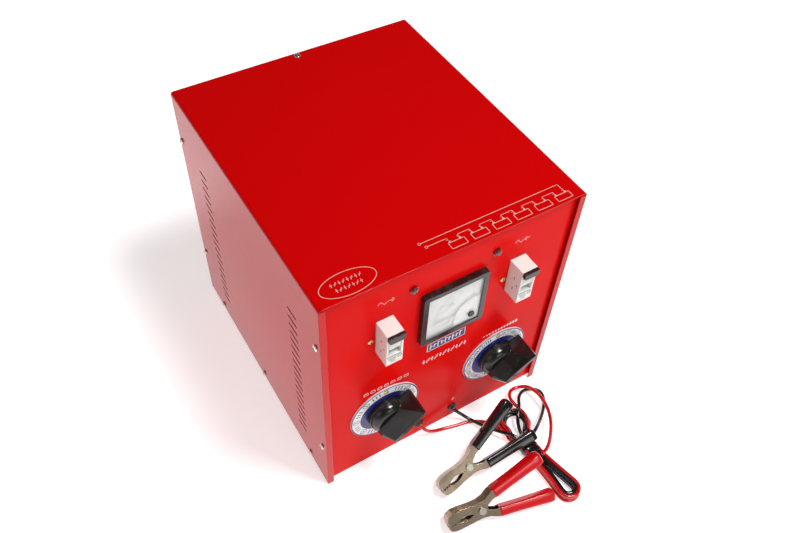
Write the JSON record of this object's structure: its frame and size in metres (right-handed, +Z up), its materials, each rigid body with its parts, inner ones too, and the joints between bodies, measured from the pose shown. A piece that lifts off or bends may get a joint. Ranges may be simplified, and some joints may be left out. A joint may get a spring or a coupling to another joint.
{
  "type": "car battery charger",
  "caption": "Mains battery charger in a folded red steel cabinet with breakers, panel meter, tap-switch knobs and spring-clip leads tied in a hank.",
  "frame": {"origin": "middle of the cabinet's underside, where it stands", "axes": "+X to the right seen from the front, +Y to the back, +Z up"},
  "size_m": [0.2846, 0.4853, 0.3133],
  "materials": {
    "case_paint": "gloss",
    "panel_paint": "gloss",
    "zinc_sheet": "satin",
    "nickel_screws": "polished",
    "breaker_plastic": "semi-gloss",
    "toggle_plastic": "gloss",
    "brass_screws": "polished",
    "lamp_lens": "gloss",
    "meter_plastic": "gloss",
    "meter_glass": "clear",
    "dial_card": "matte",
    "needle_black": "matte",
    "dial_plate": "semi-gloss",
    "knob_plastic": "gloss",
    "steel_parts": "machined",
    "switch_laminate": "matte",
    "grommet_rubber": "matte",
    "core_steel": "laminated",
    "copper_windings": "enamelled wire",
    "sink_aluminium": "extruded",
    "module_plastic": "satin",
    "block_plastic": "matte",
    "black_pvc": "gloss",
    "red_pvc": "gloss",
    "hank_mix": "gloss",
    "clip_steel": "plated",
    "clip_spring_steel": "drawn wire"
  },
  "bodies": {
    "cabinet": {"cover": "case_paint", "front_panel": "panel_paint", "rear_panel": "panel_paint", "base_plate": "zinc_sheet", "cover_screws": "nickel_screws", "input_breaker": "breaker_plastic", "output_breaker": "breaker_plastic", "breaker_brackets": "zinc_sheet", "breaker_screws": "brass_screws", "input_lamp": "lamp_lens", "output_lamp": "lamp_lens", "lamp_nuts": "nickel_screws", "meter_bezel": "meter_plastic", "meter_glass": "meter_glass", "meter_dial": "dial_card", "meter_shield": "dial_card", "meter_case": "meter_plastic", "meter_studs": "brass_screws", "coarse_dial": "dial_plate", "fine_dial": "dial_plate", "coarse_switch": "switch_laminate", "fine_switch": "switch_laminate", "switch_nuts": "nickel_screws", "dial_screws": "brass_screws", "lead_grommets": "grommet_rubber", "transformer_core": "core_steel", "primary_winding": "copper_windings", "secondary_winding": "copper_windings", "core_frames": "zinc_sheet", "core_bolts": "nickel_screws", "heat_sink": "sink_aluminium", "bridge_rectifier": "module_plastic", "terminal_block": "block_plastic", "mains_gland": "grommet_rubber", "black_lead": "black_pvc", "red_lead": "red_pvc", "lead_hank": "hank_mix", "hank_tie": "black_pvc", "black_clip_fixed_half": "clip_steel", "black_clip_rivet": "clip_spring_steel", "black_clip_spring": "clip_spring_steel", "black_clip_fixed_sleeve": "black_pvc", "red_clip_fixed_half": "clip_steel", "red_clip_rivet": "clip_spring_steel", "red_clip_spring": "clip_spring_steel", "red_clip_fixed_sleeve": "red_pvc"},
    "input_toggle": {"input_toggle": "toggle_plastic"},
    "output_toggle": {"output_toggle": "toggle_plastic"},
    "coarse_knob": {"coarse_knob": "knob_plastic", "coarse_shaft": "steel_parts"},
    "fine_knob": {"fine_knob": "knob_plastic", "fine_shaft": "steel_parts"},
    "needle": {"meter_needle": "needle_black"},
    "zero_screw": {"meter_zero_screw": "meter_plastic"},
    "black_clip_jaw": {"black_clip_moving_half": "clip_steel", "black_clip_moving_sleeve": "black_pvc"},
    "red_clip_jaw": {"red_clip_moving_half": "clip_steel", "red_clip_moving_sleeve": "red_pvc"}
  },
  "joints": [
    {"name": "input_toggle_hinge", "type": "hinge", "parent": "cabinet", "child": "input_toggle", "pos_m": [-0.0738, -0.162, 0.236], "axis": [1, 0, 0], "range_deg": [0, 76]},
    {"name": "output_toggle_hinge", "type": "hinge", "parent": "cabinet", "child": "output_toggle", "pos_m": [0.0738, -0.162, 0.236], "axis": [1, 0, 0], "range_deg": [0, 76]},
    {"name": "coarse_switch_turn", "type": "hinge", "parent": "cabinet", "child": "coarse_knob", "pos_m": [-0.0695, -0.156, 0.0945], "axis": [0, -1, 0], "range_deg": [-90, 180]},
    {"name": "fine_switch_turn", "type": "hinge", "parent": "cabinet", "child": "fine_knob", "pos_m": [0.0695, -0.156, 0.0945], "axis": [0, -1, 0], "range_deg": [-90, 180]},
    {"name": "needle_swing", "type": "hinge", "parent": "cabinet", "child": "needle", "pos_m": [0.021, -0.156, 0.213], "axis": [0, 1, 0], "range_deg": [0, 90]},
    {"name": "zero_screw_turn", "type": "hinge", "parent": "cabinet", "child": "zero_screw", "pos_m": [0.0213, -0.156, 0.2055], "axis": [0, -1, 0], "range_deg": [-30, 30]},
    {"name": "black_clip_hinge", "type": "hinge", "parent": "cabinet", "child": "black_clip_jaw", "pos_m": [-0.0035, -0.2267, 0.0194], "axis": [0.1369, 0.5559, -0.8199], "range_deg": [0, 14], "stiffness_Nm_per_rad": 0.8, "springref_deg": -11.46},
    {"name": "red_clip_hinge", "type": "hinge", "parent": "cabinet", "child": "red_clip_jaw", "pos_m": [-0.0183, -0.272, 0.0163], "axis": [-0.1475, -0.6962, 0.7026], "range_deg": [0, 14], "stiffness_Nm_per_rad": 0.8, "springref_deg": -11.46}
  ]
}
